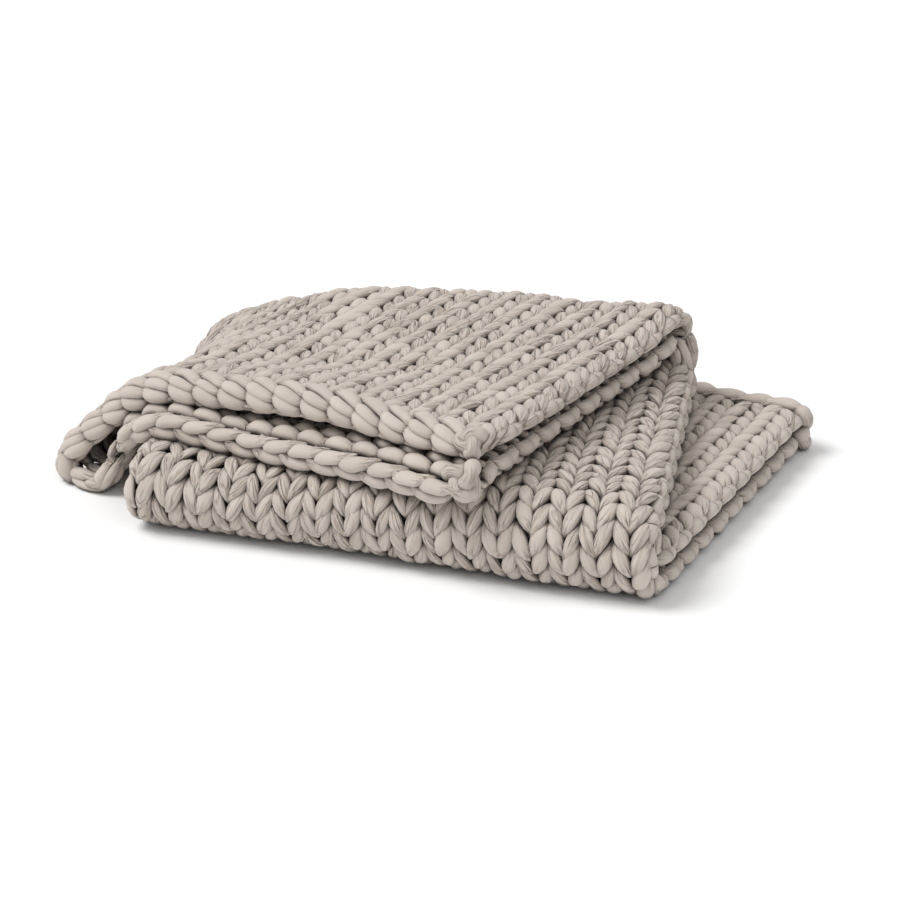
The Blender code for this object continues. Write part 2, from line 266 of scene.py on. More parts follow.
def across_half(u):
    """Distance from the lengthwise fold's outermost line, and the level: 1 is half A's."""
    around = np.clip(u / TURN, -pi / 2, pi / 2)
    straight = abs(u) - TURN * pi / 2
    lateral = np.where(straight < 0, TURN * (1 - np.cos(around)), TURN + straight)
    return lateral, np.sin(around)


def panel(u, v):
    """The middle of the knitted fabric at panel coordinates u, v, and its thickness."""
    lateral, level = across_half(u)
    squeezed = ramp(lateral, graded(DRAWN_IN, "span", v, "v"), 0)
    s = lateral - WIDTH + graded(DRAWN_IN, "by", v, "v") * squeezed
    slip = level * ramp(lateral, 0.0, SLIP_EASE)
    front, front_ends, back, back_ends = fold_places(s, slip)
    round_front = np.clip((v - front) / (front_ends - front), 0, 1)
    round_back = np.clip((v - back) / (back_ends - back), 0, 1)
    to_front = np.minimum(v - front, 0) + (round_front - 1) * pi * LAYER
    past_back = round_back * pi * LAYER + np.maximum(v - back_ends, 0)
    t = np.where(v < front_ends, to_front, v - front_ends) + s * FRONT_SKEW
    t = np.where(v < back, t, RUN_2 + s * BACK_SKEW + past_back)
    bound = ramp(v, LENGTH - EDGE_REACH, LENGTH)
    t = t + LOOP_REACH * bound * ramp(lateral, LOOP_WIDTH, 0) * (1 - LOOP_LEAN * level)
    middle = strip_middle(s, t)
    across = strip_middle(s + SMALL, t) - middle
    along = strip_middle(s, t + SMALL) - middle
    normal = np.cross(across, along)
    normal /= np.linalg.norm(normal, axis=-1, keepdims=True)
    offset = TURN * level * gape(lateral, v, level)
    point = middle - offset[..., None] * normal
    thinned = pressed_share(point[..., :2]) * ramp(point[..., 2], *THINNED_BELOW)
    thickness = THICKNESS * (1 - thinned)
    point = settle(point, v, level < 0)
    point[..., 2] = np.maximum(point[..., 2], thickness / 2)
    return point, thickness


# ---- places on the folded panel ----
PROBE = 5e-4                # a step for directions on the panel
BOX_SAMPLES = (240, 280)    # across and along, to find the panel's box


def unit(vectors):
    return vectors / np.linalg.norm(vectors, axis=-1, keepdims=True)


def lay(u, v):
    """Places on the folded panel, their directions (across, along, out of the face), the
    share of the full thickness there, and how far the fabric is spread across."""
    middle, thickness = panel(u, v)
    across = (panel(u + PROBE, v)[0] - panel(u - PROBE, v)[0]) / (2 * PROBE)
    along = panel(u, v + PROBE)[0] - panel(u, v - PROBE)[0]
    out = unit(np.cross(along, across))
    spread = np.linalg.norm(across, axis=-1)
    across = across / spread[..., None]
    along = np.cross(across, out)
    return middle, (across, along, out), thickness / THICKNESS, spread


def shift_to_cad():
    """The part's origin is the middle of its box: the same shift, found from the box."""
    u, v = np.meshgrid(np.linspace(-HALF, HALF, BOX_SAMPLES[0]),
                       np.linspace(0, LENGTH, BOX_SAMPLES[1]))
    middle, axes, share, _ = lay(u, v)
    half = (THICKNESS / 2 * share)[..., None] * axes[2]
    faces = np.concatenate([middle + half, middle - half]).reshape(-1, 3)
    low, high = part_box("blanket")
    centre = (faces.min(axis=0) + faces.max(axis=0)) / 2
    shift = (np.array(low) + np.array(high)) / 2 - centre
    shift[2] = 0
    return shift


SHIFT = shift_to_cad()

# ---- one stitch ----
# The yarn's way through the left half of a loop, from the middle of the sinker before it to
# the middle of its head: across in wales from the wale's middle, along in courses from the
# course's middle, lift out of the fabric's middle, and the yarn's half width and thickness.
# Here the leg is plump, with a blunt foot that rides over the loop below
PLUMP = (
    dict(across=-0.500, along=-1.02, lift=-0.0092, wide=0.0070, thick=0.0050),
    dict(across=-0.240, along=-1.08, lift=-0.0090, wide=0.0058, thick=0.0046),
    dict(across=-0.050, along=-1.00, lift=-0.0030, wide=0.0034, thick=0.0038),
    dict(across=-0.030, along=-0.97, lift=0.0076, wide=0.0060, thick=0.0056),
    dict(across=-0.085, along=-0.78, lift=0.0112, wide=0.0084, thick=0.0070),
    dict(across=-0.215, along=-0.42, lift=0.0086, wide=0.0092, thick=0.0072),
    dict(across=-0.330, along=-0.04, lift=0.0020, wide=0.0076, thick=0.0058),
    dict(across=-0.410, along=0.28, lift=-0.0044, wide=0.0052, thick=0.0046),
    dict(across=-0.440, along=0.60, lift=-0.0080, wide=0.0038, thick=0.0036),
    dict(across=-0.270, along=0.96, lift=-0.0090, wide=0.0056, thick=0.0044),
    dict(across=0.000, along=1.06, lift=-0.0096, wide=0.0070, thick=0.0048),
)
# Here it is drawn out to points at both ends, as over a fold, which stretches the face
DRAWN_OUT = (
    dict(across=-0.500, along=-1.02, lift=-0.0092, wide=0.0070, thick=0.0050),
    dict(across=-0.240, along=-1.08, lift=-0.0090, wide=0.0058, thick=0.0046),
    dict(across=-0.050, along=-1.00, lift=-0.0030, wide=0.0028, thick=0.0034),
    dict(across=-0.045, along=-0.88, lift=0.0046, wide=0.0024, thick=0.0030),
    dict(across=-0.100, along=-0.64, lift=0.0078, wide=0.0052, thick=0.0050),
    dict(across=-0.205, along=-0.26, lift=0.0074, wide=0.0086, thick=0.0066),
    dict(across=-0.305, along=0.13, lift=0.0044, wide=0.0088, thick=0.0068),
    dict(across=-0.378, along=0.47, lift=-0.0004, wide=0.0068, thick=0.0056),
    dict(across=-0.420, along=0.74, lift=-0.0056, wide=0.0042, thick=0.0042),
    dict(across=-0.270, along=0.98, lift=-0.0090, wide=0.0056, thick=0.0044),
    dict(across=0.000, along=1.06, lift=-0.0096, wide=0.0070, thick=0.0048),
)
DRAWN_OUT_FLAT = 0.80       # the drawn out form's share where the fabric lies flat
LEG_ROWS = range(3, 9)      # those on the face
# At a side edge the yarn turns to the next course: the same columns, from the outer foot
# outwards, where the next course is above
TURNING = (
    dict(across=0.250, along=-1.00, lift=-0.0050, wide=0.0052, thick=0.0050),
    dict(across=0.400, along=-1.38, lift=-0.0030, wide=0.0058, thick=0.0054),
    dict(across=0.500, along=-1.10, lift=0.0004, wide=0.0080, thick=0.0074),
    dict(across=0.530, along=-0.48, lift=0.0020, wide=0.0090, thick=0.0082),
)
TURN_LIFT_B = -0.0045       # half B's turns stand up, into sight
FOOT = -0.98                # where, along, the feet of a course lie
COLUMNS = ("across", "along", "lift", "wide", "thick")

# How the legs lie on flat fabric, left and right: slanted, and with their heads raised by the
# tilt.  They are plumper in half A (1) and slimmer in half B (-1)
LYING = {
    1: (dict(lift=0.0014, size=0.04, slant=0.30, tilt=-0.0060, short=-0.02),
        dict(lift=0.0, size=0.07, slant=0.36, tilt=-0.0070, short=-0.02)),
    -1: (dict(lift=-0.0012, size=-0.16, slant=0.38, tilt=-0.0080, short=-0.10),
         dict(lift=0.0, size=-0.10, slant=0.38, tilt=-0.0085, short=-0.10)),
}
LEG_MIDDLE = -0.22          # across, where a slanted leg is turned
LEG_PLACE = -0.45           # along, where it is tilted and shortened

# No two legs are alike: they differ in thickness, in place, and in the tone of their colour
WALES = 2 * WALES_IN_HALF
LEGS = (COURSES, WALES, 2)                      # course, wale, left or right leg
LEFT_RIGHT = np.array((1.03, 0.95))             # the left leg is a little thicker
rng = np.random.default_rng(7)
FATNESS = LEFT_RIGHT + 0.07 * rng.standard_normal(LEGS)
SWAY = 0.022 * rng.standard_normal(LEGS)        # across, in wales
SLACK = 0.060 * rng.standard_normal(LEGS)       # along, in courses
RAISED = 0.0007 * rng.standard_normal(LEGS)     # out of the face
TONE = rng.random(LEGS)

# Rings for each loop of yarn and sides of the tube: where a face is seen, and where not
FINE = dict(steps=32, sides=12)
COARSE = dict(steps=10, sides=6)

STRETCH_ENDS = (0.1, 0.9)   # the part of a course over which its stretching is measured
STRETCH = (1.05, 1.45)      # its length over its flat length, where this sets in and is full
HIDING = 0.8 * LAYER        # a layer this close to the place above a face hides it


def table(rows, columns=COLUMNS):
    return np.array([[row[name] for name in columns] for row in rows])


PLUMP_LOOP = table(PLUMP)
DRAWN_OUT_LOOP = table(DRAWN_OUT)
EDGE_TURN = table(TURNING)
COURSE_AT, WALE_AT = np.indices((COURSES, WALES))
MIDDLE_U = (WALE_AT + 0.5) * WALE - HALF        # of each wale


def stretch_of_face():
    """For each course and wale, how far a fold stretches the face: 0 on flat fabric, to 1."""
    ends = []
    for part in STRETCH_ENDS:
        middle, axes, _, _ = lay(MIDDLE_U, CAST_ON + (COURSE_AT + part) * COURSE)
        ends.append(middle + THICKNESS / 2 * axes[2])
    full = (STRETCH_ENDS[1] - STRETCH_ENDS[0]) * COURSE
    return ramp(np.linalg.norm(ends[1] - ends[0], axis=-1) / full, *STRETCH)


def hidden_faces():
    """For each course and wale, whether another layer or the floor hides its face."""
    middle, axes, _, _ = lay(MIDDLE_U, CAST_ON + (COURSE_AT + 0.5) * COURSE)
    points = middle.reshape(-1, 3)
    above = (middle + LAYER * axes[2]).reshape(-1, 3)
    hidden = above[:, 2] < 0
    for k, place in enumerate(above):
        hidden[k] |= (np.linalg.norm(points - place, axis=1) < HIDING).any()
    hidden = hidden.reshape(COURSE_AT.shape)
    # a stitch beside one that is seen is taken as seen, and so are the side edges
    inner = hidden.copy()
    for axis in (0, 1):
        for step in (-1, 1):
            inner &= np.roll(hidden, step, axis)
    inner[:, (0, -1)] = False
    return inner


STRETCHED = stretch_of_face()
HIDDEN = hidden_faces()


def mirrored(rows):
    rows = rows[::-1].copy()
    rows[:, 0] *= -1
    return rows


def loop_rows(course, wale):
    """The rows of one loop, each leg a little different."""
    lying = 1 - STRETCHED[course, wale]
    half = 1 if wale >= WALES_IN_HALF else -1
    drawn_out = STRETCHED[course, wale] + lying * DRAWN_OUT_FLAT
    left = (1 - drawn_out) * PLUMP_LOOP + drawn_out * DRAWN_OUT_LOOP
    right = left.copy()
    for leg, rows in enumerate((left, right)):
        form = LYING[half][leg]
        at = (course, wale, leg)
        for k in LEG_ROWS:
            past = rows[k, 1] - LEG_PLACE
            rows[k, 0] += SWAY[at] + lying * form["slant"] * (rows[k, 0] - LEG_MIDDLE)
            rows[k, 1] += SLACK[at] - lying * form["short"] * past
            rows[k, 2] += RAISED[at] + lying * (form["lift"] - form["tilt"] * past)
            rows[k, 3:] *= FATNESS[at] + lying * form["size"]
    rows = np.concatenate([left, mirrored(right)[1:]])
    rows[:, 0] += wale + 0.5
    rows[:, 1] += course + 0.5
    return rows


def turn_rows(course, side):
    """The rows that lead from an outer foot to halfway round the turn, at side 1 or -1."""
    rows = EDGE_TURN.copy()
    if (course % 2 == 0) != (side > 0):
        rows[:, 1] = 2 * FOOT - rows[:, 1]
    rows[:, 0] = rows[:, 0] * side + WALES_IN_HALF * (1 + side) + 0.5 * -side
    if side < 0:
        rows[1:, 2] += TURN_LIFT_B
    rows[:, 1] += course + 0.5
    return rows


def smooth(rows, samples):
    """Points along the smooth curve through the rows (Catmull-Rom)."""
    ends = np.concatenate([2 * rows[:1] - rows[1:2], rows, 2 * rows[-1:] - rows[-2:-1]])
    place = np.linspace(0, len(rows) - 1, samples)
    k = np.minimum(place.astype(int), len(rows) - 2)
    f = (place - k)[:, None]
    a, b, c, d = (ends[k + n] for n in range(4))
    return b + 0.5 * f * (c - a + f * (2 * a - 5 * b + 4 * c - d + f * (3 * (b - c) + d - a)))


# ---- tubes of yarn ----
FLUTES = 3                  # in which pinched yarn gathers, winding round it
FLUTE_DEPTH = 0.07          # a share of its radius
FLUTE_TWIST = 90.0          # radians for each metre of yarn
FULL = 1.00                 # of a tube's greatest radius: smooth yarn
PINCHED = 0.66              # of a tube's greatest radius: gathered yarn
YARN_APART = 50.0           # tubes lie up to this far apart on the yarn, for other patterns
FLOOR_GAP = 0.0002          # the least height of yarn above the floor
UP = np.array((0.0, 0.0, 1.0))


def section_axes(path, facing):
    """Side and up of a tube's sections along a path: up is as near to facing as can be."""
    tangent = unit(np.gradient(path, axis=0))
    up = unit(facing - tangent * np.sum(tangent * facing, axis=-1, keepdims=True))
    return np.cross(tangent, up), up


def add(name, data):
    """A new object in the scene."""
    item = bpy.data.objects.new(name, data)
    bpy.context.scene.collection.objects.link(item)
    return item


class Yarn:
    """Tubes of yarn that become one piece."""

    def __init__(self):
        self.points = []
        self.quads = []
        self.caps = []
        self.marks = []
        self.count = 0

    def tube(self, centre, wide, thick, side, up, sides, tone):
        """A closed tube round the points centre.  side and up are the axes of its section."""
        rings = len(centre)
        around = np.arange(sides)
        angle = 2 * pi * around / sides
        length = np.linalg.norm(np.diff(centre, axis=0), axis=1)
        length = np.concatenate([[0], np.cumsum(length)])[:, None]
        radius = ((wide + thick) / 2)[:, None]
        pinch = ramp(radius / radius.max(), FULL, PINCHED)
        tones = tone[:, None]
        flutes = 1 + FLUTE_DEPTH * pinch * np.cos(FLUTES * angle + FLUTE_TWIST * length
                                                  + 2 * pi * tones)
        ring = (centre[:, None]
                + (wide[:, None] * flutes * np.cos(angle))[..., None] * side[:, None]
                + (thick[:, None] * flutes * np.sin(angle))[..., None] * up[:, None])
        points = np.concatenate([ring.reshape(-1, 3), centre[:1], centre[-1:]])
        ring_start = np.arange(rings - 1)[:, None] * sides
        a, b = ring_start + around, ring_start + (around + 1) % sides
        quads = np.stack([a, b, b + sides, a + sides], -1).reshape(-1, 4)
        first = np.stack([a[0], np.full(sides, rings * sides), b[0]], -1)
        last = np.stack([a[-1] + sides, b[-1] + sides, np.full(sides, rings * sides + 1)], -1)
        caps = np.concatenate([first, last])
        if np.sum(np.cross(up, np.gradient(centre, axis=0)) * side) < 0:
            # a mirrored section: its faces are turned round, to look out of the tube
            quads = quads[:, (0, 3, 2, 1)]
            caps = caps[:, (0, 2, 1)]
        # where on the yarn each point lies, how pinched the yarn is there, and its tone
        marks = np.broadcast_arrays(radius * np.cos(angle), radius * np.sin(angle),
                                    YARN_APART * tone[0] + length, pinch, tones)
        marks = np.stack(marks, -1).reshape(-1, len(marks))
        self.points.append(points)
        self.quads.append(quads + self.count)
        self.caps.append(caps + self.count)
        self.marks.append(np.concatenate([marks, marks[[0, -1]]]))
        self.count += len(points)

    def piece(self, name, material):
        """The tubes as one piece that stands for the blanket."""
        points = np.concatenate(self.points) + SHIFT
        points[:, 2] = np.maximum(points[:, 2], FLOOR_GAP)
        faces = np.concatenate(self.quads).tolist() + np.concatenate(self.caps).tolist()
        mesh = bpy.data.meshes.new(name)
        mesh.from_pydata(points.tolist(), [], faces)
        mesh.shade_smooth()
        mesh.materials.append(material)
        marks = np.concatenate(self.marks).astype(np.float32)
        place = mesh.attributes.new("yarn_place", "FLOAT_VECTOR", "POINT")
        place.data.foreach_set("vector", np.ascontiguousarray(marks[:, :3]).ravel())
        for mark, column in (("pinch", 3), ("tone", 4)):
            layer = mesh.attributes.new(mark, "FLOAT", "POINT")
            layer.data.foreach_set("value", np.ascontiguousarray(marks[:, column]))
        item = add(name, mesh)
        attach(item, "root")
        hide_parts("blanket")


# ---- the knitting ----
NOSE = TURN * pi / 2        # the lengthwise fold's round part, each way from its middle
NOSE_EASE = 0.008
SPREAD = (0.9, 1.35)        # the least and the most that yarn spreads with the fabric

# The knitted pieces, and their first and last courses
PIECES = (
    ("knit_cast_on_end", 0, 9),
    ("knit_run_3", 10, 19),
    ("knit_front_fold", 20, 28),
    ("knit_run_2", 29, 37),
    ("knit_back_fold", 38, 45),
    ("knit_run_1_back", 46, 53),
    ("knit_run_1_front", 54, 61),
)


def strand(yarn, course, first, last, detail):
    """One course's yarn through the wales from first to last."""
    rows = [loop_rows(course, wale) for wale in range(first, last + 1)]
    rows = np.concatenate(rows[:1] + [block[1:] for block in rows[1:]])
    if first == 0:
        rows = np.concatenate([turn_rows(course, -1)[::-1], rows[2:]])
    if last == WALES - 1:
        rows = np.concatenate([rows[:-2], turn_rows(course, 1)])
    x, y, lift, wide, thick = smooth(rows, detail["steps"] * (last - first + 1) + 1).T
    side, up = section_axes(np.stack([x * WALE, y * COURSE, lift], -1), UP)
    u = x * WALE - HALF
    middle, axes, share, spread = lay(u, CAST_ON + y * COURSE)
    centre = middle + (lift * share)[:, None] * axes[2]
    # yarn spreads where the lengthwise fold stretches the fabric
    nose = ramp(abs(u), NOSE + NOSE_EASE, NOSE - NOSE_EASE)
    wide = wide * np.clip(spread * (1 + nose * np.maximum(lift, 0) / TURN), *SPREAD)

    def turned(axis):
        """From the flat panel's directions to those of the folded one."""
        return unit(sum(axis[:, k:k + 1] * axes[k] for k in range(3)))

    # each wale's legs lie a quarter and three quarters of the way across it
    legs = TONE[course].ravel()
    tone = np.interp(x, np.arange(len(legs)) / 2 + 0.25, legs)
    yarn.tube(centre, wide, thick * share, turned(side), turned(up), detail["sides"], tone)


def knit(name, first, last, material):
    """One piece, of the courses from first to last: fine where it is seen."""
    yarn = Yarn()
    for course in range(first, last + 1):
        begin = 0
        for wale in range(WALES):
            if wale + 1 == WALES or HIDDEN[course, wale + 1] != HIDDEN[course, begin]:
                strand(yarn, course, begin, wale, COARSE if HIDDEN[course, begin] else FINE)
                begin = wale + 1
    yarn.piece(name, material)


# ---- the chained edges ----
# A link's way: along in links from its middle, away from the lengthwise fold; out past the
# edge; up from the fabric's middle; and the yarn's half width and thickness
LINKS = dict(
    # on the upper lip: a leaf on top, a band and a round bulb in front, and a point below it
    leaf=(
        dict(along=-0.86, out=-0.009, up=0.010, wide=0.0024, thick=0.0024),
        dict(along=-0.56, out=-0.007, up=0.013, wide=0.0060, thick=0.0050),
        dict(along=-0.16, out=-0.002, up=0.014, wide=0.0084, thick=0.0066),
        dict(along=0.22, out=0.003, up=0.011, wide=0.0080, thick=0.0062),
        dict(along=0.54, out=0.007, up=0.007, wide=0.0054, thick=0.0046),
        dict(along=0.78, out=0.007, up=0.003, wide=0.0030, thick=0.0030),
    ),
    band=(
        dict(along=-0.54, out=0.003, up=0.006, wide=0.0034, thick=0.0034),
        dict(along=-0.44, out=0.008, up=0.010, wide=0.0064, thick=0.0060),
        dict(along=-0.12, out=0.013, up=0.009, wide=0.0076, thick=0.0066),
        dict(along=0.24, out=0.013, up=0.004, wide=0.0066, thick=0.0060),
        dict(along=0.54, out=0.006, up=0.000, wide=0.0040, thick=0.0038),
    ),
    bulb=(
        dict(along=-0.56, out=0.003, up=0.004, wide=0.0036, thick=0.0036),
        dict(along=-0.48, out=0.010, up=0.002, wide=0.0084, thick=0.0080),
        dict(along=-0.20, out=0.014, up=-0.002, wide=0.0112, thick=0.0100),
        dict(along=0.14, out=0.012, up=-0.006, wide=0.0104, thick=0.0094),
        dict(along=0.44, out=0.005, up=-0.008, wide=0.0066, thick=0.0060),
        dict(along=0.58, out=-0.002, up=-0.006, wide=0.0034, thick=0.0034),
    ),
    point=(
        dict(along=-0.94, out=0.010, up=-0.008, wide=0.0012, thick=0.0012),
        dict(along=-0.64, out=0.010, up=-0.011, wide=0.0040, thick=0.0032),
        dict(along=-0.26, out=0.009, up=-0.013, wide=0.0060, thick=0.0048),
        dict(along=0.10, out=0.005, up=-0.012, wide=0.0052, thick=0.0044),
        dict(along=0.36, out=-0.001, up=-0.008, wide=0.0030, thick=0.0030),
    ),
    # on the lower lip: a long leaf on a hanging bulb, and bumps of the back behind them
    long_leaf=(
        dict(along=-0.56, out=0.008, up=-0.001, wide=0.0040, thick=0.0040),
        dict(along=-0.46, out=0.013, up=0.002, wide=0.0074, thick=0.0070),
        dict(along=-0.12, out=0.015, up=0.005, wide=0.0090, thick=0.0078),
        dict(along=0.28, out=0.014, up=0.007, wide=0.0080, thick=0.0068),
        dict(along=0.62, out=0.010, up=0.009, wide=0.0050, thick=0.0044),
        dict(along=0.86, out=0.005, up=0.009, wide=0.0024, thick=0.0024),
    ),
    hanging_bulb=(
        dict(along=-0.78, out=0.012, up=0.004, wide=0.0036, thick=0.0036),
        dict(along=-0.78, out=0.016, up=-0.001, wide=0.0058, thick=0.0056),
        dict(along=-0.62, out=0.015, up=-0.006, wide=0.0084, thick=0.0080),
        dict(along=-0.26, out=0.013, up=-0.009, wide=0.0100, thick=0.0094),
        dict(along=0.12, out=0.010, up=-0.008, wide=0.0088, thick=0.0082),
        dict(along=0.40, out=0.004, up=-0.003, wide=0.0046, thick=0.0044),
    ),
    bump=(
        dict(along=-0.52, out=-0.010, up=0.002, wide=0.0040, thick=0.0040),
        dict(along=-0.40, out=-0.008, up=0.008, wide=0.0084, thick=0.0078),
        dict(along=-0.06, out=-0.007, up=0.012, wide=0.0104, thick=0.0088),
        dict(along=0.28, out=-0.006, up=0.008, wide=0.0088, thick=0.0076),
        dict(along=0.52, out=-0.004, up=0.001, wide=0.0044, thick=0.0044),
    ),
    far_bump=(
        dict(along=-0.10, out=-0.030, up=0.000, wide=0.0040, thick=0.0040),
        dict(along=0.02, out=-0.026, up=0.007, wide=0.0074, thick=0.0066),
        dict(along=0.34, out=-0.024, up=0.012, wide=0.0090, thick=0.0076),
        dict(along=0.68, out=-0.022, up=0.008, wide=0.0074, thick=0.0066),
        dict(along=0.88, out=-0.020, up=0.000, wide=0.0040, thick=0.0040),
    ),
    # at the cast-on edge
    spindle=(
        dict(along=-0.84, out=-0.006, up=0.009, wide=0.0026, thick=0.0026),
        dict(along=-0.50, out=-0.003, up=0.012, wide=0.0068, thick=0.0062),
        dict(along=-0.05, out=0.001, up=0.012, wide=0.0094, thick=0.0084),
        dict(along=0.42, out=0.004, up=0.009, wide=0.0070, thick=0.0062),
        dict(along=0.84, out=0.006, up=0.004, wide=0.0026, thick=0.0026),
    ),
    back_spindle=(
        dict(along=-0.80, out=0.012, up=0.004, wide=0.0024, thick=0.0024),
        dict(along=-0.42, out=0.014, up=0.008, wide=0.0060, thick=0.0052),
        dict(along=0.05, out=0.013, up=0.010, wide=0.0078, thick=0.0066),
        dict(along=0.48, out=0.009, up=0.008, wide=0.0060, thick=0.0052),
        dict(along=0.80, out=0.003, up=0.002, wide=0.0024, thick=0.0024),
    ),
    under_spindle=(
        dict(along=-0.70, out=0.002, up=-0.003, wide=0.0024, thick=0.0024),
        dict(along=-0.36, out=0.007, up=-0.005, wide=0.0064, thick=0.0056),
        dict(along=0.08, out=0.009, up=-0.005, wide=0.0080, thick=0.0066),
        dict(along=0.46, out=0.007, up=-0.004, wide=0.0060, thick=0.0054),
        dict(along=0.72, out=0.002, up=-0.002, wide=0.0024, thick=0.0024),
    ),
)
LINK_COLUMNS = ("along", "out", "up", "wide", "thick")
LINK_STEPS = 16             # rings of a link's tube
LINK_SIDES = 14
LINK = 0.0350               # length of one link of a chain
LINK_SWAY = 0.0005          # no two links are alike: they differ in their rows' places,
LINK_SWELL = 0.05           # in thickness
LINK_SLIP = 0.03            # and in their place along the chain
TIP_LINK = 0.80             # the size of half B's first link, at the lengthwise fold
TIP_LINKS = (0.5, 3.5)      # the numbers of those that grow to full size and turn over
EDGE_SAMPLES = 900          # along half an edge, to measure it
CAST_ON_LINE = 0.002        # v of the cast-on chain

# The forms of the links at each end, in half A (1) and half B (-1)
BOUND_FORMS = {
    1: ("leaf", "band", "bulb", "point"),
    -1: ("long_leaf", "hanging_bulb", "bump", "far_bump"),
}
CAST_ON_FORMS = {half: ("spindle", "back_spindle", "under_spindle") for half in (1, -1)}

# The yarn's ends are tied in knots at the panel's corners.  past is where a knot lies past
# the side edge, out past the end of the knitting, and up from the fabric's middle; scale is
# that of its trefoil, and radius the yarn's
BOUND_KNOTS = {
    1: dict(past=-0.016, out=0.010, up=0.004, scale=0.0036, radius=0.0088),
    -1: dict(past=-0.012, out=-0.002, up=0.014, scale=0.0056, radius=0.0082),
}
CAST_ON_KNOTS = {
    1: dict(past=0.001, out=0.001, up=0.001, scale=0.0031, radius=0.0088),
    -1: dict(past=0.001, out=-0.001, up=0.005, scale=0.0031, radius=0.0088),
}
KNOT_STEPS = 120
KNOT_DEPTH = 1.3            # of the trefoil, in scales
KNOT_BULGE = 0.16           # a share of the yarn's radius, six times round the knot
KNOT_LEAN = radians(35)     # of the knot's face, from out past the edge to up
KNOT_TURNED = 0.5           # of the trefoil in its own plane, in radians


class Edge:
    """One half of an end of the knitting: half is 1 in half A and -1 in half B, and outward
    is 1 at the bound edge and -1 at the cast-on edge."""

    def __init__(self, v, half, outward):
        self.v = v
        self.half = half
        self.outward = outward
        # u at even steps, and its distance from the lengthwise fold
        self.u = half * np.linspace(0, HALF + 2 * LINK, EDGE_SAMPLES)
        middle = panel(self.u, np.full(EDGE_SAMPLES, v))[0]
        steps = np.linalg.norm(np.diff(middle, axis=0), axis=1)
        self.distance = np.concatenate([[0], np.cumsum(steps)])
        self.length = np.interp(HALF, abs(self.u), self.distance)

    def places(self, distance):
        """u at distances from the lengthwise fold, and beyond it where they are negative."""
        beyond = self.half * np.minimum(distance, 0)
        return np.interp(distance, self.distance, self.u) + beyond


def link(yarn, form, edge, middle, flip, size):
    """One link of a chain, middle links away from the lengthwise fold.  flip is -1 where its
    upper side is the fabric's back, and size scales all but its length."""
    rows = table(LINKS[form], LINK_COLUMNS)
    rows[:, 1:3] += LINK_SWAY * rng.standard_normal((len(rows), 2))
    rows[:, 3:] *= 1 + LINK_SWELL * rng.standard_normal()
    rows[:, 0] += LINK_SLIP * rng.standard_normal()
    rows[:, 1:] *= size
    along, out, up, wide, thick = smooth(rows, LINK_STEPS).T
    u = edge.places((middle + along) * LINK)
    on_edge, axes, share, _ = lay(u, np.full(len(u), edge.v))
    centre = (on_edge + (edge.outward * out)[:, None] * axes[1]
              + (flip * up * share)[:, None] * axes[2])
    side, top = section_axes(centre, flip * axes[2])
    tone = np.full(len(u), rng.random())
    yarn.tube(centre, wide, thick, side, top, LINK_SIDES, tone)


def knot(yarn, edge, size):
    """The yarn's end at a corner of the panel, tied in a trefoil knot."""
    half, outward = edge.half, edge.outward
    turned = half * KNOT_TURNED
    t = np.linspace(0, 2 * pi, KNOT_STEPS)
    path = np.stack([np.sin(t) + 2 * np.sin(2 * t), np.cos(t) - 2 * np.cos(2 * t),
                     -KNOT_DEPTH * np.sin(3 * t)], -1)
    path[:, :2] = path[:, :2] @ np.array(((cos(turned), sin(turned)),
                                          (-sin(turned), cos(turned))))
    side, up = section_axes(path, UP)
    middle, axes, _, _ = lay(np.array([half * (HALF + size["past"])]),
                             np.array([edge.v + outward * size["out"]]))
    across, along, out = (axis[0] for axis in axes)
    # the knot's face looks out past the edge and up
    face = cos(KNOT_LEAN) * outward * along + sin(KNOT_LEAN) * half * out
    rise = cos(KNOT_LEAN) * half * out - sin(KNOT_LEAN) * outward * along
    basis = np.stack([across, rise, face])
    centre = middle[0] + size["up"] * half * out + size["scale"] * path @ basis
    thick = size["radius"] * (1 + KNOT_BULGE * np.cos(6 * t))
    tone = np.full(len(t), rng.random())
    yarn.tube(centre, thick, thick, -side @ basis, up @ basis, LINK_SIDES, tone)


def chain(name, v, outward, forms, knots, material):
    """The chained edge at v, its links pointing away from the lengthwise fold."""
    yarn = Yarn()
    for half in (1, -1):
        edge = Edge(v, half, outward)
        for k in range(int(edge.length / LINK)):
            turned = ramp(k, *TIP_LINKS)
            flip = 1 if half > 0 else 1 - 2 * turned
            size = 1 if half > 0 else TIP_LINK + (1 - TIP_LINK) * turned
            for form in forms[half]:
                link(yarn, form, edge, k + 0.5, flip, size)
        knot(yarn, edge, knots[half])
    yarn.piece(name, material)


# ---- yarn material ----
YARN_LIGHT = (0.560, 0.495, 0.436, 1.0)
YARN_DARK = (0.450, 0.393, 0.341, 1.0)
CREASE_PAINTED_SHADE = (0.62, 0.57, 0.53, 1.0)       # painted shade: the colour that darkens creases and the valleys between gathers
CREVICE_PAINTED_SHADE = (0.12, 0.095, 0.078, 1.0)     # painted shade: the colour where yarn lies close to yarn, from ambient occlusion
UNTINTED = (1.0, 1.0, 1.0, 1.0)
JERSEY = {"Roughness": 0.88, "Sheen Weight": 0.25, "Sheen Roughness": 0.6,
          "Specular IOR Level": 0.2}
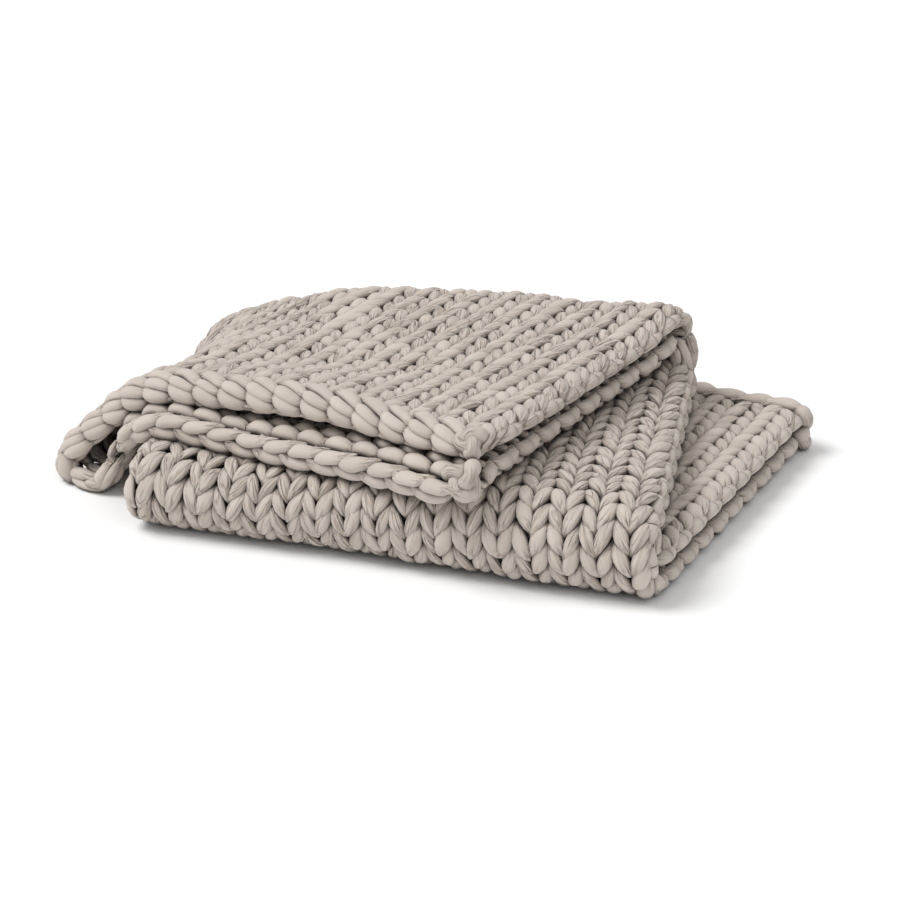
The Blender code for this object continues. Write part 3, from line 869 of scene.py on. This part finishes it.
# Patterns on the yarn: their scale, their detail, and their scale along the yarn as a share
CREASES = dict(scale=125.0, detail=0.5, along=0.2)
GATHERS = dict(scale=340.0, detail=1.0, along=0.07)
GRAIN = dict(scale=1500.0, detail=2.0, along=0.45)
MOTTLE = dict(scale=60.0, detail=2.0, along=1.0)
CREASE_WIDTH = 0.040                    # from the middle value of its pattern
CREASE_FROM = 0.2                       # how pinched yarn is where its creases get deeper
CREASE_DEPTHS = (0.03, 0.65)
# painted shade in the valleys between gathers
VALLEY = (0.48, 0.34)                   # values of the gathers where a valley starts and ends
VALLEY_SHADE = 0.8
TONE_SHARE = 0.55                       # of the leg's own tone in its colour
# painted shade in crevices: how far the ambient occlusion looks for nearby yarn
CREVICE_REACH = 0.012
OPEN = (0.10, 0.98)                     # of the ambient occlusion: where a crevice's painted shade is darkest, and where it ends


def yarn_material():
    """Matte cotton jersey drawn into a tube, with creases where it is pinched, and painted
    shade in its creases and crevices.
    """
    material = bpy.data.materials.new("knit_yarn_jersey")
    material.use_nodes = True
    tree = material.node_tree

    def node(kind, inputs, **settings):
        """A shader node.  Each of its inputs is a value, or the output of another node."""
        item = tree.nodes.new("ShaderNode" + kind)
        for name, value in settings.items():
            setattr(item, name, value)
        for name, value in inputs.items():
            if isinstance(value, bpy.types.NodeSocket):
                tree.links.new(value, item.inputs[name])
            else:
                item.inputs[name].default_value = value
        return item

    def attribute(name, output="Fac"):
        return node("Attribute", {}, attribute_name=name).outputs[output]

    def calculated(operation, *values):
        return node("Math", dict(enumerate(values)), operation=operation).outputs[0]

    def pattern(scale, detail, along):
        scaled = node("VectorMath", {0: place, 1: (1.0, 1.0, along)}, operation="MULTIPLY")
        return node("TexNoise", {"Vector": scaled.outputs[0], "Scale": scale,
                                 "Detail": detail}).outputs["Fac"]

    def eased(value, start, end, to=1.0):
        return node("MapRange", {"Value": value, "From Min": start, "From Max": end,
                                 "To Max": to}, interpolation_type="SMOOTHSTEP").outputs[0]

    def mixed(factor, first, second, blend="MIX"):
        return node("Mix", {"Factor": factor, "A": first, "B": second}, data_type="RGBA",
                    blend_type=blend).outputs["Result"]

    place = attribute("yarn_place", "Vector")
    pinch = attribute("pinch")
    # creases are narrow grooves along the yarn, where its pattern passes the middle value;
    # they are bumps, and painted shade in the colour
    off_middle = calculated("ABSOLUTE", calculated("SUBTRACT", pattern(**CREASES), 0.5))
    deeper = node("MapRange", {"Value": pinch, "From Min": CREASE_FROM,
                               "To Min": CREASE_DEPTHS[0], "To Max": CREASE_DEPTHS[1]})
    crease_bump_and_shade = calculated("MULTIPLY", eased(off_middle, CREASE_WIDTH, 0.0), deeper.outputs[0])
    # gathers are finer ridges along the yarn, only where it is pinched
    gathers = pattern(**GATHERS)
    # painted shade in the valleys between the gathers, only where the yarn is pinched
    valley_painted_shade = calculated("MULTIPLY", eased(gathers, *VALLEY, to=VALLEY_SHADE), pinch)
    ridge_bump = node("Bump", {"Height": calculated("MULTIPLY", gathers, pinch),
                               "Strength": 0.9, "Distance": 0.0045})
    crease_bump = node("Bump", {"Height": crease_bump_and_shade, "Strength": 1.0, "Distance": 0.0016,
                                "Normal": ridge_bump.outputs[0]}, invert=True)
    # the knit of the jersey itself
    grain_bump = node("Bump", {"Height": pattern(**GRAIN), "Strength": 0.6,
                               "Distance": 0.0002, "Normal": crease_bump.outputs[0]})
    # each leg has its own tone; painted shade darkens it in its creases and valleys, and
    # painted shade from ambient occlusion where yarn lies close to yarn
    blend = calculated("MULTIPLY_ADD", attribute("tone"), TONE_SHARE, pattern(**MOTTLE))
    colour = mixed(blend, YARN_DARK, YARN_LIGHT)
    # painted shade: the creases and valleys darkened
    colour = mixed(calculated("MAXIMUM", valley_painted_shade, crease_bump_and_shade), colour, CREASE_PAINTED_SHADE, "MULTIPLY")
    # painted shade: ambient occlusion darkens the colour where yarn lies close to yarn
    openness = node("AmbientOcclusion", {"Distance": CREVICE_REACH}, samples=6).outputs["AO"]
    occlusion_shade = mixed(eased(openness, *OPEN), CREVICE_PAINTED_SHADE, UNTINTED)
    colour = mixed(1.0, colour, occlusion_shade, "MULTIPLY")

    shader = tree.nodes["Principled BSDF"]
    for name, value in JERSEY.items():
        shader.inputs[name].default_value = value
    tree.links.new(colour, shader.inputs["Base Color"])
    tree.links.new(grain_bump.outputs[0], shader.inputs["Normal"])
    return material


def build_blanket():
    material = yarn_material()
    for name, first, last in PIECES:
        knit(name, first, last, material)
    chain("bound_edge_chain", LENGTH, 1, BOUND_FORMS, BOUND_KNOTS, material)
    chain("cast_on_chain", CAST_ON_LINE, -1, CAST_ON_FORMS, CAST_ON_KNOTS, material)


# ---- floor, light and camera ----
FLOOR_REACH = 12.0
PAPER = {"Base Color": (0.93, 0.93, 0.93, 1), "Roughness": 0.9, "Specular IOR Level": 0.1}
SKY_STRENGTH = 0.55
KEY_FROM = (-1.6, -0.6, 2.6)
KEY_STRENGTH = 2.1
KEY_ANGLE = radians(32)
FILL_FROM = (1.8, -1.6, 2.2)
FILL_SIZE = 2.0
FILL_POWER = 14
VIEW_AZIMUTH = radians(19)
VIEW_ELEVATION = radians(24)
VIEW_DISTANCE = 3.75
VIEW_AIM = (0.0609, -0.2679, 0.1436)    # in the folded panel's own place
LENS = 140.25


def build_stage():
    mesh = bpy.data.meshes.new("floor")
    corners = [(x * FLOOR_REACH, y * FLOOR_REACH, 0) for x, y in
               ((-1, -1), (1, -1), (1, 1), (-1, 1))]
    mesh.from_pydata(corners, [], [(0, 1, 2, 3)])
    paper = bpy.data.materials.new("floor_paper")
    paper.use_nodes = True
    shader = paper.node_tree.nodes["Principled BSDF"]
    for name, value in PAPER.items():
        shader.inputs[name].default_value = value
    mesh.materials.append(paper)
    floor = add("floor", mesh)


def facing_middle(place):
    """The rotation of a lamp that shines from a place to the middle of the floor."""
    return (-Vector(place)).to_track_quat("-Z", "Y").to_euler()


def build_light():
    world = bpy.data.worlds.new("studio")
    world.use_nodes = True
    backdrop = world.node_tree.nodes["Background"]
    backdrop.inputs["Color"].default_value = (1.0, 1.0, 1.0, 1)
    backdrop.inputs["Strength"].default_value = SKY_STRENGTH
    bpy.context.scene.world = world
    sun = bpy.data.lights.new("key", "SUN")
    sun.energy = KEY_STRENGTH
    sun.angle = KEY_ANGLE
    add("key", sun).rotation_euler = facing_middle(KEY_FROM)
    panel_light = bpy.data.lights.new("fill", "AREA")
    panel_light.size = FILL_SIZE
    panel_light.energy = FILL_POWER
    lamp = add("fill", panel_light)
    lamp.location = FILL_FROM
    lamp.rotation_euler = facing_middle(FILL_FROM)
    bpy.context.scene.view_settings.view_transform = "Standard"


def build_camera():
    back = Vector((sin(VIEW_AZIMUTH) * cos(VIEW_ELEVATION),
                   -cos(VIEW_AZIMUTH) * cos(VIEW_ELEVATION), sin(VIEW_ELEVATION)))
    data = bpy.data.cameras.new("camera")
    data.lens = LENS
    camera = add("camera", data)
    camera.location = Vector(VIEW_AIM) + Vector(SHIFT) + back * VIEW_DISTANCE
    camera.rotation_euler = back.to_track_quat("Z", "Y").to_euler()
    bpy.context.scene.camera = camera


build_camera()
build_blanket()
build_stage()
build_light()
